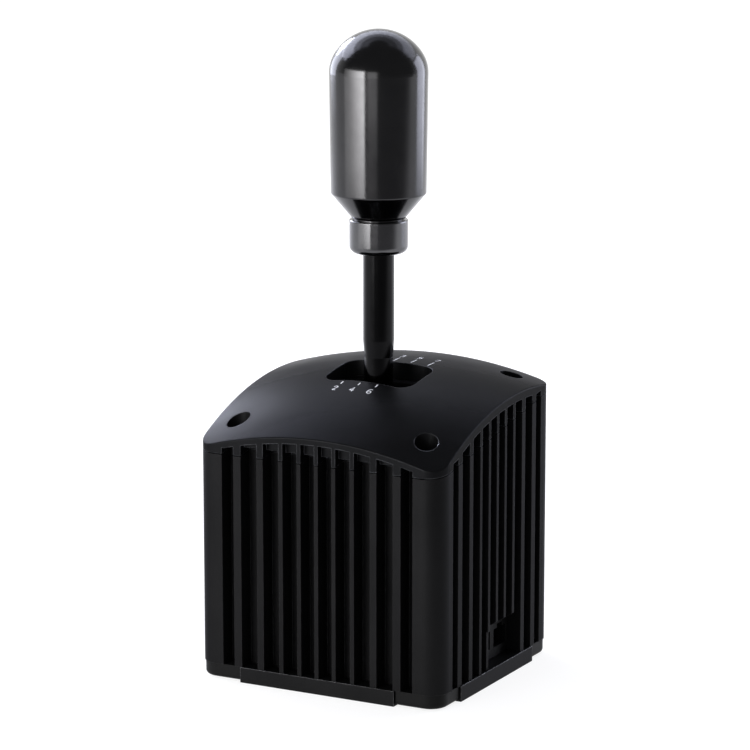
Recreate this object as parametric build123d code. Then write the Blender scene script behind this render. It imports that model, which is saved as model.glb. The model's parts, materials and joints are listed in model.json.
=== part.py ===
"""Sim racing gear shifter: a finned box with a domed cover, an H-pattern lever and a domed round knob.

Millimetres. Origin on the floor under the middle of the footprint, +Z up, +X to the socket side.
The side with the even gears faces -Y.
"""

import os
from math import atan2, cos, degrees, radians, sqrt, tan

from build123d import *

# Driving dimensions of the housing
body_width = 104.0
body_depth = 95.0
corner_radius = 7.5
base_height = 6.0
body_front_height = 82.0
cover_slope = 10.4
fin_depth = 7.0
wall = 3.0
seam_gap = 0.4
overrun = 5.0

# Fins: places and thicknesses from the middle of a side out to the corner post
post_width = 11.4
fin_width = 1.6
fin_place_shares = [0.0, 0.182, 0.374, 0.594, 0.837]
fin_width_shares = [1.0, 1.0, 1.06, 1.7, 2.0]

# Domed cover, sizes square to the sloping seam
crown_height = 17.8
dome_radius_across = 186.0
dome_radius_along = 142.0
dome_half_angle = 40.0
cover_thickness = 3.0
front_band = 2.1
side_band = 3.1
cover_rib_depth = 2.9
cover_slot_height = 2.3
cover_edge_round = 0.6

# Opening in the cover, and the well below it
lever_offset = 2.0
opening_width = 37.8
opening_length = 25.8
opening_corner = 6.0
opening_bow = 2.0
well_depth = 8.0
well_wall = 2.2
dust_plate_thickness = 1.5
dust_opening_width = 30.4
dust_opening_length = 21.2
dust_opening_corner = 5.0

# Base plate and corner feet
pad_mount_margin = 1.0
pad_screw_margin = 1.75
pad_stand_out = 0.4
foot_gap = 0.4
foot_inset = 0.4
foot_floor_gap = 0.4
foot_edge_round = 1.6
board_pocket_depth = 3.0
board_pocket_margin = 2.0

# Mounting threads in the base
mount_thread_radius = 3.0
mount_insert_radius = 4.0
mount_from_foot_screw = 12.0
mount_setback = 1.5

# Screws
fit_clearance = 0.05
screw_clearance = 0.2
thread_run_out = 1.0
head_recess = 0.6
cover_screw_inset = 12.0
cover_hole_radius = 4.5
cover_seat_height = 2.0
cover_boss_radius = 7.0
cover_screw_radius = 2.0
cover_screw_head_radius = 3.8
cover_screw_head_height = 2.2
cover_screw_length = 13.0
body_boss_radius = 5.5
foot_screw_radius = 2.0
foot_screw_head_radius = 3.5
foot_screw_head_height = 2.0
foot_screw_length = 13.0
side_boss_radius = 4.0
side_boss_height = 20.0
base_screw_radius = 1.5
base_screw_head_radius = 2.75
base_screw_head_height = 2.0
base_screw_length = 12.0
socket_key_share = 0.5
socket_key_depth_share = 0.6

# Sockets and their window in the right side
plug_socket_width = 13.3
plug_socket_height = 11.5
plug_socket_length = 16.0
plug_socket_wall = 1.5
plug_opening_width = 10.2
plug_opening_height = 7.2
plug_opening_depth = 12.0
latch_slot_width = 4.4
latch_slot_height = 1.6
gaps_before_window_count = 4
window_gap_count = 4
window_height = 15.0
window_flare = 2.5
window_flare_shares = (0.6, 0.3)
stub_inset = 0.6
bezel_thickness = 1.2
bezel_gap = 0.2
contact_width = 0.4
contact_count = 6
contact_pitch = 1.02
contact_length = 8.0
contact_height = 0.6

# Circuit board
board_thickness = 1.6
board_half_length = 19.0
board_left = 30.0
board_right_gap = 0.5
standoff_radius = 2.6
standoff_height = 3.9
board_screw_radius = 1.0
board_screw_head_radius = 2.0
board_screw_head_height = 1.2
board_screw_length = 4.5
board_screw_inset = 3.2
sensor_side = 3.0
sensor_height = 1.0
processor_side = 9.0
processor_height = 1.2
processor_x = 17.0
small_chip_side = 4.0

# Pivot, uprights and bushes
pivot_height = 78.0
foot_wall_gap = 1.5
upright_thickness = 5.0
upright_shoulder_height = 38.0
upright_shoulder_drop = 12.0
upright_eye_radius = 12.0
upright_foot_width = 36.0
upright_foot_depth = 6.0
upright_foot_height = 5.0
upright_screw_x = 12.0
upright_screw_radius = 1.5
upright_screw_head_radius = 2.75
upright_screw_head_height = 3.0
upright_screw_length = 8.0
journal_radius = 5.0
running_clearance = 0.04
bush_wall = 1.5
washer_width = 3.0
washer_room = 3.0
bush_flange = 1.0
bush_flange_radius = 8.0
side_play = 0.1

# Tilting frame that swings from side to side
frame_side_thickness = 6.0
frame_end_thickness = 5.9
frame_height = 14.0
ear_thickness = 4.0
ear_width = 12.0

# Lever, its block and the shift axle
block_width = 22.0
block_length = 16.0
block_above = 20.0
block_below = 16.0
axle_radius = 4.0
shaft_radius = 6.0
shaft_neck_radius = 5.5
neck_top = 121.0
neck_taper = 6.6
shaft_seat_above_pivot = 7.0
set_screw_radius = 2.0

# Gate plate and gate pin
pin_shank_radius = 4.0
pin_shank_length = 33.0
pin_radius = 2.0
pin_past_gate = 3.0
gate_lift = 13.0
gate_thickness = 2.5
gate_slot_width = 5.2
gate_edge_width = 2.85
column_angle = 8.0
select_limit = 16.0
shift_limit = 7.5
gate_end_gap = 0.4
ledge_depth = 6.0
ledge_height = 5.0
gate_screw_x = 16.0
gate_screw_radius = 1.25
gate_screw_head_radius = 2.2
gate_screw_head_height = 1.6
gate_screw_length = 7.0
detent_magnet_radius = 2.0
detent_magnet_offset = 14.0
pin_magnet_length = 3.0

# Centring springs and the rails that carry them
spring_frame_gap = 0.9
spring_mean_radius = 4.0
spring_wire_radius = 0.6
spring_turns = 8
spring_end_gap = 0.3
points_per_turn = 24
rail_width = 9.0
rail_height = 4.0
rail_top = 40.0
peg_radius = 2.6
peg_height = 4.0
rail_screw_radius = 1.5
rail_screw_head_radius = 2.75
rail_screw_head_height = 3.0
rail_screw_length = 10.0

# Knob and collar
knob_top = 245.9
knob_radius = 18.7
knob_dome_height = 16.4
knob_shoulder_share = 0.82
knob_low_radius = 18.15
knob_height = 71.4
knob_cone_height = 9.5
knob_neck_radius = 10.2
knob_edge_round = 0.8
shaft_into_knob = 30.0
groove_height = 0.6
groove_radius = 9.4
collar_radius = 11.2
collar_below_knob = 13.5
collar_round = 3.0
collar_top_round = 0.5

# Sizes that follow from the driving dimensions
half_width = body_width / 2
half_depth = body_depth / 2
seam_middle_height = base_height + body_front_height + half_depth * tan(radians(cover_slope))
inner_half_width = half_width - fin_depth
inner_half_depth = half_depth - fin_depth
cavity_half_width = inner_half_width - wall
cavity_half_depth = inner_half_depth - wall
tall = seam_middle_height + body_depth
cover_screw_x = half_width - cover_screw_inset
cover_screw_y = half_depth - cover_screw_inset
side_boss_x = cavity_half_width - side_boss_radius
side_boss_y = cover_screw_y - body_boss_radius - side_boss_radius
mount_half_width = cover_screw_x - mount_from_foot_screw
mount_half_depth = cover_screw_y - mount_setback
pad_width = 2 * (mount_half_width + mount_insert_radius + pad_mount_margin)
pad_depth = 2 * (side_boss_y + base_screw_head_radius + pad_screw_margin)
upright_gap = 2 * (cavity_half_depth - lever_offset - foot_wall_gap - upright_thickness - upright_foot_depth)
knob_bottom = knob_top - knob_height
knob_cylinder_bottom = knob_bottom + knob_cone_height
collar_bottom = knob_bottom - collar_below_knob
front_upright_face = lever_offset - upright_gap / 2
rear_upright_face = lever_offset + upright_gap / 2
board_bottom = base_height - board_pocket_depth + standoff_height
board_top = board_bottom + board_thickness
gate_bottom = base_height + gate_lift
gate_top = gate_bottom + gate_thickness
gate_middle_drop = pivot_height - gate_bottom - gate_thickness / 2
gate_half_width = gate_middle_drop * tan(radians(select_limit)) + gate_slot_width / 2 + gate_edge_width
pin_tip_below_pivot = pivot_height - gate_bottom + pin_past_gate
frame_inner_width = block_width + 2 * washer_room
frame_inner_length = upright_gap - 2 * (bush_flange + side_play + frame_end_thickness)
frame_width = frame_inner_width + 2 * frame_side_thickness
spring_reach = spring_mean_radius + spring_wire_radius + spring_frame_gap
spring_x = frame_width / 2 + spring_reach
upright_width = 2 * spring_x + rail_width
well_floor = crown_height - well_depth
foot_seat = foot_floor_gap + foot_screw_head_height + head_recess
base_seat = base_screw_head_height + head_recess
pivot = Location((0, lever_offset, pivot_height))
seam_frame = Location((0, 0, seam_middle_height), (cover_slope, 0, 0))
corners = [(-1, -1), (1, -1), (-1, 1), (1, 1)]
sides = [-1, 1]
quarter_turn = 90
half_turn = 180
lying = Rot(-quarter_turn, 0, 0)
crosswise = Rot(0, quarter_turn, 0)
rail_middle = rail_top - rail_height / 2

parts = {}


def block(x, y, z):
    """A box from three (low, high) pairs."""
    return Pos(x[0], y[0], z[0]) * Box(x[1] - x[0], y[1] - y[0], z[1] - z[0], align=(Align.MIN,) * 3)


def span(length, middle=0):
    """The (low, high) pair of a length about its middle."""
    return (middle - length / 2, middle + length / 2)


def rod(radius, low, high):
    """A cylinder on the Z axis between two heights."""
    return Pos(0, 0, low) * Cylinder(radius, high - low, align=(Align.CENTER, Align.CENTER, Align.MIN))


def prism(sketch, low, high):
    """A sketch pulled up from one height to another."""
    return extrude(Pos(0, 0, low) * sketch, high - low)


def turned(points):
    """A solid turned about Z from (radius, height) corners."""
    return revolve(Plane.XZ * make_face(Polyline(*points, close=True)), Axis.Z)


def screw(radius, length, head_radius, head_height):
    """A socket screw, its head seated on z = 0 and its shank pointing down."""
    body = rod(radius, -length, 0) + rod(head_radius, 0, head_height)
    key = RegularPolygon(head_radius * socket_key_share, 6)
    key_floor = head_height * (1 - socket_key_depth_share)
    return body - prism(key, key_floor, head_height + overrun)


def below_seam(lift):
    """Everything up to the sloping seam, raised by a lift."""
    slab = block((-tall, tall), (-tall, tall), (-2 * tall, lift))
    return seam_frame * slab


def under_dome(drop):
    """Everything under the domed surface, lowered square to the seam by a drop."""
    top = crown_height - drop
    reach = body_width
    sag = dome_radius_across - drop - sqrt((dome_radius_across - drop) ** 2 - reach**2)
    crown = ThreePointArc((-reach, top - sag), (0, top), (reach, top - sag))
    floor = crown_height - dome_radius_along / 2
    outline = crown + Polyline((reach, top - sag), (reach, floor), (-reach, floor), (-reach, top - sag))
    middle = crown_height - dome_radius_along
    arch = Axis((0, 0, middle), (1, 0, 0))
    section = (Plane.XZ * make_face(outline)).rotate(arch, -dome_half_angle)
    swept = revolve(section, arch, 2 * dome_half_angle)
    bed = block((-reach, reach), (-reach, reach), (-2 * tall, -crown_height))
    return seam_frame * (swept + bed)




def fin_gaps(half_span):
    """The (low, high) spans of the gaps between fins, along a side."""
    edges = []
    for place, thickness in zip(fin_place_shares, fin_width_shares):
        middle = place * half_span
        edges.append((middle - fin_width * thickness / 2, middle + fin_width * thickness / 2))
    edges.append((half_span, half_span))
    right = [(edges[i][1], edges[i + 1][0]) for i in range(len(edges) - 1)]
    left = [(-high, -low) for low, high in reversed(right)]
    return left + right


front_gaps = fin_gaps(half_width - post_width)
side_gaps = fin_gaps(half_depth - post_width * body_depth / body_width)


def gap_sketch(depth):
    """The gaps between the fins of all four sides, cut in from the outline by a depth."""
    cuts = []
    for low, high in front_gaps:
        for side in sides:
            middle = side * (half_depth - depth / 2 + overrun / 2)
            cuts.append(Pos((low + high) / 2, middle) * Rectangle(high - low, depth + overrun))
    for low, high in side_gaps:
        for side in sides:
            middle = side * (half_width - depth / 2 + overrun / 2)
            cuts.append(Pos(middle, (low + high) / 2) * Rectangle(depth + overrun, high - low))
    return Sketch() + cuts


def opening_sketch(grow):
    """The outline of the opening for the lever, grown by a margin, its near edge bowed inward."""
    x = opening_width / 2 + grow
    y = opening_length / 2 + grow
    near = ThreePointArc((-x, -y), (0, opening_bow - y), (x, -y))
    rest = Polyline((x, -y), (x, y), (-x, y), (-x, -y))
    face = make_face(near + rest)
    return Pos(0, lever_offset) * fillet(face.vertices(), opening_corner + grow)


def corner_places(x, y):
    """The four mirrored places of a point on the footprint."""
    return [Pos(i * x, j * y) for i, j in corners]


def cover_seat(side):
    """Height of the cover screws' seats on the near or the far side."""
    return seam_middle_height + side * cover_screw_y * tan(radians(cover_slope)) + cover_seat_height


# Finned housing
window_gaps = side_gaps[gaps_before_window_count:][:window_gap_count]
window_low = window_gaps[0][0]
window_high = window_gaps[-1][1]
window_top = base_height + window_height
socket_pitch = (window_high - window_low) / 2
socket_middles = [window_low + socket_pitch / 2, window_low + 3 * socket_pitch / 2]


def make_housing():
    outline = RectangleRounded(body_width, body_depth, corner_radius) - gap_sketch(fin_depth)
    outer = prism(outline, base_height, tall) & below_seam(0)
    core = Rectangle(2 * inner_half_width, 2 * inner_half_depth)
    core = prism(core, base_height, tall) & below_seam(seam_gap)
    cavity = prism(Rectangle(2 * cavity_half_width, 2 * cavity_half_depth), -overrun, 2 * tall)
    shell = outer + core - cavity
    bosses = Sketch() + [p * Circle(body_boss_radius) for p in corner_places(cover_screw_x, cover_screw_y)]
    shell += prism(bosses, base_height, tall) & cavity & below_seam(seam_gap)
    low_boss = rod(side_boss_radius, base_height, base_height + side_boss_height)
    low_boss += block((0, cavity_half_width - side_boss_x), span(2 * side_boss_radius),
                      (base_height, base_height + side_boss_height))
    for i, j in corners:
        turn = Rot(0, 0, 0 if i > 0 else half_turn)
        shell += Pos(i * side_boss_x, j * side_boss_y) * turn * low_boss
    return shell


def cut_housing(shell):
    for i, j in corners:
        place = Pos(i * cover_screw_x, j * cover_screw_y)
        cover_thread = cover_seat(j) - cover_screw_length - thread_run_out
        shell -= place * rod(cover_screw_radius + fit_clearance, cover_thread, 2 * tall)
        foot_thread = foot_seat + foot_screw_length + thread_run_out
        shell -= place * rod(foot_screw_radius + fit_clearance, 0, foot_thread)
        place = Pos(i * side_boss_x, j * side_boss_y)
        base_thread = base_seat + base_screw_length + thread_run_out
        shell -= place * rod(base_screw_radius + fit_clearance, 0, base_thread)
    window_x = inner_half_width
    flare_top = window_top + window_flare
    outer_x = half_width + overrun
    across, up = window_flare_shares
    middle = (window_x + fin_depth * across, window_top + window_flare * up)
    arc = ThreePointArc((window_x, window_top), middle, (half_width, flare_top))
    rest = Polyline((half_width, flare_top), (outer_x, flare_top), (outer_x, -overrun),
                    (window_x, -overrun), (window_x, window_top))
    face = Plane.XZ * make_face(arc + rest)
    shell -= extrude(Pos(0, window_high, 0) * face, window_high - window_low)
    hole_top = board_top + plug_socket_height + bezel_gap
    shell -= block((cavity_half_width - overrun, inner_half_width + overrun), (window_low, window_high),
                   (base_height - overrun, hole_top))
    stub_low = side_gaps[gaps_before_window_count - 1][1]
    shell -= block((half_width - stub_inset, outer_x), (stub_low, window_low), (-overrun, window_top))
    return shell


parts["finned_housing"] = cut_housing(make_housing())


# Domed cover
def make_cover():
    outline = RectangleRounded(body_width, body_depth, corner_radius)
    dome = under_dome(0)
    cover = prism(outline, base_height, 2 * tall) & dome
    cover = fillet(cover.faces().sort_by(Axis.Z)[-1].edges(), cover_edge_round)
    cover -= below_seam(seam_gap)
    slots = prism(gap_sketch(fin_depth), base_height, tall) & below_seam(seam_gap + cover_slot_height)
    cover -= slots
    pockets = gap_sketch(cover_rib_depth)
    front = pockets & Rectangle(2 * inner_half_width, 2 * body_depth)
    side = pockets & Rectangle(2 * body_width, 2 * inner_half_depth)
    cover -= prism(front, base_height, tall) & under_dome(front_band)
    cover -= prism(side, base_height, tall) & under_dome(side_band)
    hollow = Rectangle(2 * cavity_half_width, 2 * cavity_half_depth)
    hollow -= [p * Circle(cover_boss_radius) for p in corner_places(cover_screw_x, cover_screw_y)]
    hollow = prism(hollow, base_height, 2 * tall) & under_dome(cover_thickness)
    well = prism(opening_sketch(well_wall), base_height, 2 * tall) - below_seam(well_floor)
    cover -= hollow - well
    cover -= prism(opening_sketch(0), base_height, 2 * tall)
    for i, j in corners:
        place = Pos(i * cover_screw_x, j * cover_screw_y)
        cover -= place * rod(cover_hole_radius, cover_seat(j), 2 * tall)
        cover -= place * rod(cover_screw_radius + screw_clearance, 0, 2 * tall)
    return cover


parts["top_cover"] = make_cover()

dust_plate = prism(opening_sketch(well_wall), base_height, 2 * tall) & below_seam(well_floor)
dust_plate -= below_seam(well_floor - dust_plate_thickness)
dust_hole = RectangleRounded(dust_opening_width, dust_opening_length, dust_opening_corner)
parts["dust_plate"] = dust_plate - prism(Pos(0, lever_offset) * dust_hole, base_height, 2 * tall)

cover_screw = screw(cover_screw_radius, cover_screw_length, cover_screw_head_radius, cover_screw_head_height)
parts["cover_screws"] = [
    Pos(i * cover_screw_x, j * cover_screw_y, cover_seat(j)) * cover_screw for i, j in corners
]


# Base plate, corner feet and their screws
def make_base():
    plan = Rectangle(pad_width, body_depth + 2 * pad_stand_out)
    plan += Rectangle(body_width + 2 * pad_stand_out, pad_depth)
    plate = prism(plan, 0, base_height)
    pocket_low = lever_offset - board_half_length - board_pocket_margin
    pocket_high = lever_offset + board_half_length + board_pocket_margin
    plate -= block((-board_left - board_pocket_margin, cavity_half_width), (pocket_low, pocket_high),
                   (base_height - board_pocket_depth, base_height + overrun))
    for place in corner_places(mount_half_width, mount_half_depth):
        plate -= place * rod(mount_insert_radius, -overrun, base_height + overrun)
    for place in corner_places(side_boss_x, side_boss_y):
        plate -= place * rod(base_screw_radius + screw_clearance, -overrun, base_height + overrun)
        plate -= place * rod(base_screw_head_radius + screw_clearance, -overrun, base_seat)
    thread_floor = base_height + upright_foot_height - upright_screw_length - thread_run_out
    for x, y in upright_screw_places():
        plate -= Pos(x, y) * rod(upright_screw_radius + fit_clearance, thread_floor, base_height + overrun)
    return plate


def upright_screw_places():
    reach = upright_gap / 2 + upright_thickness + upright_foot_depth / 2
    return [(i * upright_screw_x, lever_offset + j * reach) for i, j in corners]


def standoff_places():
    left = -board_left + board_screw_inset
    right = cavity_half_width - board_right_gap - plug_socket_length - board_screw_inset
    low = lever_offset - board_half_length + board_screw_inset
    high = lever_offset + board_half_length - board_screw_inset
    return [(x, y) for x in (left, right) for y in (low, high)]


parts["base_plate"] = make_base()

insert = rod(mount_insert_radius - fit_clearance, 0, base_height) - rod(
    mount_thread_radius, -overrun, base_height + overrun)
parts["mount_inserts"] = [p * insert for p in corner_places(mount_half_width, mount_half_depth)]

foot_width = body_width - 2 * foot_inset
foot_depth = body_depth - 2 * foot_inset
foot_outline = RectangleRounded(foot_width, foot_depth, corner_radius - foot_inset)
foot_tray = prism(foot_outline, foot_floor_gap, base_height)
foot_tray = fillet(foot_tray.faces().sort_by(Axis.Z)[0].edges(), foot_edge_round)
foot_tray -= block(span(pad_width + 2 * foot_gap), span(2 * body_depth), (0, tall))
foot_tray -= block(span(2 * body_width), span(pad_depth + 2 * foot_gap), (0, tall))
for foot_place in corner_places(cover_screw_x, cover_screw_y):
    foot_tray -= foot_place * rod(foot_screw_radius + screw_clearance, 0, tall)
    foot_tray -= foot_place * rod(foot_screw_head_radius + screw_clearance, 0, foot_seat)
parts["corner_feet"] = list(foot_tray.solids())

upside_down = Rot(half_turn, 0, 0)
foot_screw = screw(foot_screw_radius, foot_screw_length, foot_screw_head_radius, foot_screw_head_height)
foot_screw = Pos(0, 0, foot_seat) * upside_down * foot_screw
parts["foot_screws"] = [p * foot_screw for p in corner_places(cover_screw_x, cover_screw_y)]
base_screw = screw(base_screw_radius, base_screw_length, base_screw_head_radius, base_screw_head_height)
base_screw = Pos(0, 0, base_seat) * upside_down * base_screw
parts["base_screws"] = [p * base_screw for p in corner_places(side_boss_x, side_boss_y)]


# Circuit board with its sockets
board_right = cavity_half_width - board_right_gap
board_reach = span(2 * board_half_length, lever_offset)
board = block((-board_left, board_right), board_reach, (board_bottom, board_top))
standoff = rod(standoff_radius, base_height - board_pocket_depth, board_bottom) - rod(
    board_screw_radius + fit_clearance, 0, tall)
for stand_x, stand_y in standoff_places():
    board -= Pos(stand_x, stand_y) * rod(board_screw_radius + screw_clearance, 0, tall)
parts["main_board"] = board
parts["board_standoffs"] = [Pos(x, y) * standoff for x, y in standoff_places()]
board_screw = screw(board_screw_radius, board_screw_length, board_screw_head_radius, board_screw_head_height)
parts["board_screws"] = [Pos(x, y, board_top) * board_screw for x, y in standoff_places()]

position_sensor = block(span(sensor_side), span(sensor_side), (0, sensor_height))
parts["position_sensor"] = Pos(0, lever_offset, board_top) * position_sensor
processor = block(span(processor_side), span(processor_side), (0, processor_height))
small_chip = block((0, small_chip_side), (0, small_chip_side), (0, sensor_height))
parts["board_chips"] = [
    Pos(-processor_x, lever_offset, board_top) * processor,
    Pos(processor_x / 2, lever_offset + processor_side, board_top) * small_chip,
    Pos(processor_x / 2, lever_offset - processor_side, board_top) * small_chip,
]

plug_floor = board_top + plug_socket_wall
mouth_reach = (inner_half_width - plug_opening_depth, inner_half_width + overrun)
mouth_top = plug_floor + plug_opening_height
mouth = block(mouth_reach, span(plug_opening_width), (plug_floor, mouth_top))
mouth += block(mouth_reach, span(latch_slot_width), (plug_floor, mouth_top + latch_slot_height))
plug_socket = block((inner_half_width - plug_socket_length, inner_half_width), span(plug_socket_width),
                    (board_top, board_top + plug_socket_height)) - mouth
for socket_name, socket_y in zip(("front_socket", "rear_socket"), socket_middles):
    parts[socket_name] = Pos(0, socket_y) * plug_socket

contacts = []
contact_x = inner_half_width - plug_opening_depth
for socket_y in socket_middles:
    for number in range(contact_count):
        contact_y = socket_y + (number - (contact_count - 1) / 2) * contact_pitch
        contacts.append(block((contact_x, contact_x + contact_length), span(contact_width, contact_y),
                              (plug_floor, plug_floor + contact_height)))
parts["socket_contacts"] = contacts

bezel = block((inner_half_width, inner_half_width + bezel_thickness),
              (window_low + bezel_gap, window_high - bezel_gap),
              (base_height + bezel_gap, window_top - bezel_gap))
for socket_y in socket_middles:
    bezel -= Pos(0, socket_y) * mouth
parts["socket_bezel"] = bezel


# Uprights that carry the tilting frame
def make_upright():
    """An upright with its inner face on y = 0 and its foot towards +Y, heights from the floor."""
    low = gate_half_width
    half = upright_width / 2
    shoulder = base_height + upright_shoulder_height
    widening = shoulder - upright_shoulder_drop
    eye = upright_eye_radius
    right = [(low, base_height), (low, widening - upright_shoulder_drop), (half, widening), (half, shoulder),
             (eye, pivot_height)]
    left = [(-x, z) for x, z in reversed(right)]
    edge = Polyline(*right, *left, close=True)
    outline = make_face(edge) + Pos(0, pivot_height) * Circle(eye)
    outline -= Pos(0, pivot_height) * Circle(journal_radius + bush_wall)
    plate = extrude(Plane.XZ * outline, -upright_thickness)
    foot = block(span(upright_foot_width), (upright_thickness, upright_thickness + upright_foot_depth),
                 (base_height, base_height + upright_foot_height))
    ledge = block(span(2 * gate_half_width), (-ledge_depth, 0), (gate_bottom - ledge_height, gate_bottom))
    upright = plate + foot + ledge
    foot_middle = upright_thickness + upright_foot_depth / 2
    foot_bore = rod(upright_screw_radius + screw_clearance, 0, base_height + upright_foot_height + overrun)
    gate_bore = rod(gate_screw_radius + fit_clearance, 0, gate_bottom)
    rail_bore = lying * rod(rail_screw_radius + screw_clearance, -overrun, upright_thickness + overrun)
    for side in sides:
        upright -= Pos(side * upright_screw_x, foot_middle) * foot_bore
        upright -= Pos(side * gate_screw_x, -ledge_depth / 2) * gate_bore
        upright -= Pos(side * spring_x, 0, rail_middle) * rail_bore
    return upright


rear_place = Pos(0, rear_upright_face)
front_place = Pos(0, front_upright_face) * Rot(0, 0, half_turn)
parts["front_upright"] = front_place * make_upright()
parts["rear_upright"] = rear_place * make_upright()

upright_screw = screw(upright_screw_radius, upright_screw_length, upright_screw_head_radius,
                      upright_screw_head_height)
foot_top = base_height + upright_foot_height
parts["upright_screws"] = [Pos(x, y, foot_top) * upright_screw for x, y in upright_screw_places()]

bush_sleeve = rod(journal_radius + bush_wall - fit_clearance, 0, upright_thickness)
bush_sleeve += rod(bush_flange_radius, -bush_flange, 0)
select_bush = bush_sleeve - rod(journal_radius + running_clearance, -tall, tall)
select_bush = Pos(0, 0, pivot_height) * lying * select_bush
parts["select_bushes"] = [front_place * select_bush, rear_place * select_bush]


# Gate plate with its five lanes, and the magnets that hold the pin at the lane ends
def make_gate():
    plate = block(span(2 * gate_half_width), span(upright_gap - 2 * screw_clearance, lever_offset),
                  (gate_bottom, gate_top))
    lane = SlotOverall(2 * lane_end(), gate_slot_width, rotation=quarter_turn)
    lanes = Sketch() + [Pos(x, lever_offset) * lane for x in column_places()]
    cross = 2 * column_places()[-1] + gate_slot_width
    lanes += Pos(0, lever_offset) * SlotOverall(cross, gate_slot_width)
    plate -= prism(lanes, 0, tall)
    for x, y in detent_places():
        plate -= Pos(x, y) * rod(detent_magnet_radius + fit_clearance, 0, tall)
    for x, y in gate_screw_places():
        plate -= Pos(x, y) * rod(gate_screw_radius + screw_clearance, 0, tall)
    return plate


def column_places():
    return [gate_middle_drop * tan(radians(column_angle * n)) for n in (-2, -1, 0, 1, 2)]


def lane_end():
    """How far a lane runs from the cross lane, so that the pin clears its end at the shift limit."""
    lowest = pivot_height - gate_bottom
    reach = lowest * tan(radians(shift_limit)) / cos(radians(select_limit))
    return reach + pin_radius / cos(radians(shift_limit)) + gate_end_gap


def gate_screw_places():
    reach = upright_gap / 2 - ledge_depth / 2
    return [(i * gate_screw_x, lever_offset + j * reach) for i, j in corners]


def detent_places():
    return [(x, lever_offset + side * detent_magnet_offset) for x in column_places() for side in sides]


parts["gate_plate"] = make_gate()
gate_screw = screw(gate_screw_radius, gate_screw_length, gate_screw_head_radius, gate_screw_head_height)
parts["gate_screws"] = [Pos(x, y, gate_top) * gate_screw for x, y in gate_screw_places()]
detent_magnet = rod(detent_magnet_radius, gate_bottom, gate_top)
parts["detent_magnets"] = [Pos(x, y) * detent_magnet for x, y in detent_places()]


# Rails with pegs for the centring springs
def make_rail():
    """A rail with its middle over the pivot, heights from the floor."""
    rail = block(span(rail_width), span(upright_gap), (rail_top - rail_height, rail_top))
    rail += rod(peg_radius, rail_middle, rail_top + peg_height)
    thread_end = upright_thickness - rail_screw_length - thread_run_out
    thread = lying * rod(rail_screw_radius + fit_clearance, thread_end, 0)
    thread = Pos(0, upright_gap / 2, rail_middle) * thread
    return rail - thread - Rot(0, 0, half_turn) * thread


parts["left_spring_rail"] = Pos(-spring_x, lever_offset) * make_rail()
parts["right_spring_rail"] = Pos(spring_x, lever_offset) * make_rail()
rail_screw = screw(rail_screw_radius, rail_screw_length, rail_screw_head_radius, rail_screw_head_height)
rail_screw = Pos(0, upright_thickness, rail_middle) * lying * rail_screw
parts["rail_screws"] = [
    place * Pos(side * spring_x, 0) * rail_screw for place in (front_place, rear_place) for side in sides
]

# Centring springs: each half turn is a tilted half circle, so the wire runs on without a kink
spring_bottom = rail_top + spring_wire_radius + spring_end_gap
spring_top = pivot_height - ear_thickness - spring_wire_radius - spring_end_gap
spring_pitch = (spring_top - spring_bottom) / spring_turns


def coil_points():
    """The ends and middles of the half turns of a coil on the Z axis."""
    points = []
    bulge = sqrt(spring_mean_radius**2 + (spring_pitch / 4) ** 2)
    for half in range(2 * spring_turns):
        side = 1 if half % 2 == 0 else -1
        start = spring_bottom + half * spring_pitch / 2
        points.append(((side * spring_mean_radius, 0, start),
                       (0, side * bulge, start + spring_pitch / 4),
                       (-side * spring_mean_radius, 0, start + spring_pitch / 2)))
    return points


def make_spring():
    path = Wire([ThreePointArc(*three).edge() for three in coil_points()])
    return sweep(Plane(path @ 0, z_dir=path % 0) * Circle(spring_wire_radius), path)


def spring_self_gap():
    """The least gap between the wire of one turn and the wire of any other, taken on points along it."""
    path = Wire([ThreePointArc(*three).edge() for three in coil_points()])
    count = spring_turns * points_per_turn
    points = [path @ (i / count) for i in range(count + 1)]
    apart = [(a - b).length for i, a in enumerate(points) for b in points[i + points_per_turn // 2:]]
    return min(apart) - 2 * spring_wire_radius


print("least gap between spring turns", round(spring_self_gap(), 2))
parts["left_centring_spring"] = Pos(-spring_x, lever_offset) * make_spring()
parts["right_centring_spring"] = Pos(spring_x, lever_offset) * make_spring()


# Tilting frame, drawn about the pivot
def make_frame():
    half_length = upright_gap / 2 - bush_flange - side_play
    frame = Box(frame_width, 2 * half_length, frame_height)
    frame -= Box(frame_inner_width, frame_inner_length, 2 * frame_height)
    journal_end = upright_gap / 2 + upright_thickness + side_play
    journals = lying * rod(journal_radius, -journal_end, journal_end)
    journals -= Box(frame_width, frame_inner_length, frame_width)
    frame += journals
    frame -= crosswise * rod(axle_radius + bush_wall, -frame_width, frame_width)
    for side in sides:
        low, high = sorted((side * frame_width / 2, side * (spring_x + spring_reach)))
        frame += block((low, high), span(ear_width), (-ear_thickness, 0))
        frame += Pos(side * spring_x, 0) * rod(peg_radius, -ear_thickness - peg_height, 0)
    return frame


parts["tilting_frame"] = pivot * make_frame()

axle_bush = rod(axle_radius + bush_wall - fit_clearance, frame_inner_width / 2, frame_width / 2)
axle_bush -= rod(axle_radius + running_clearance, 0, frame_width)
parts["axle_bushes"] = [pivot * Rot(0, side * quarter_turn, 0) * axle_bush for side in sides]

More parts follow.
